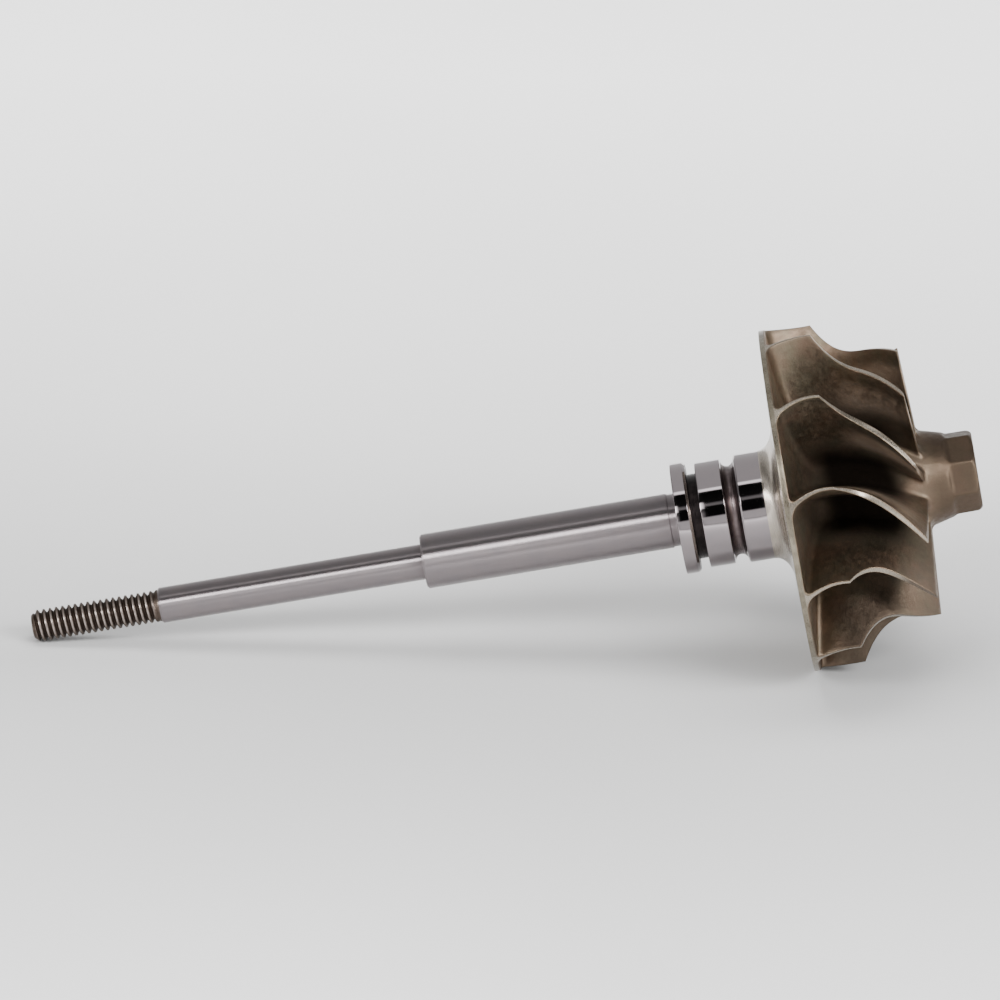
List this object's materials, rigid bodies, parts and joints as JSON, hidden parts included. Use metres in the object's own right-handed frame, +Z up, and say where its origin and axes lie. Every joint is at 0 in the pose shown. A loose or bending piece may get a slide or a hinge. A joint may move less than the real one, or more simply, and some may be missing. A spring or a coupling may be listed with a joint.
{
  "type": "turbocharger shaft and turbine wheel",
  "caption": "Turbocharger rotor shaft with a threaded end, bearing journal and seal collars, welded to a cast radial turbine wheel with a full back disc and curved blades.",
  "frame": {"origin": "middle of the box's base, on the floor that the part lies on", "axes": "+Z up, +X along the floor from the thread end towards the wheel, +Y across; the spin axis is in the XZ plane and climbs 11.52 degrees towards the wheel"},
  "size_m": [0.1482, 0.0536, 0.0539],
  "materials": {
    "shaft_steel": "ground and polished steel",
    "wheel_alloy": "satin investment-cast nickel alloy"
  },
  "bodies": {
    "root": {"shaft": "shaft_steel", "turbine_wheel": "wheel_alloy"}
  },
  "joints": []
}
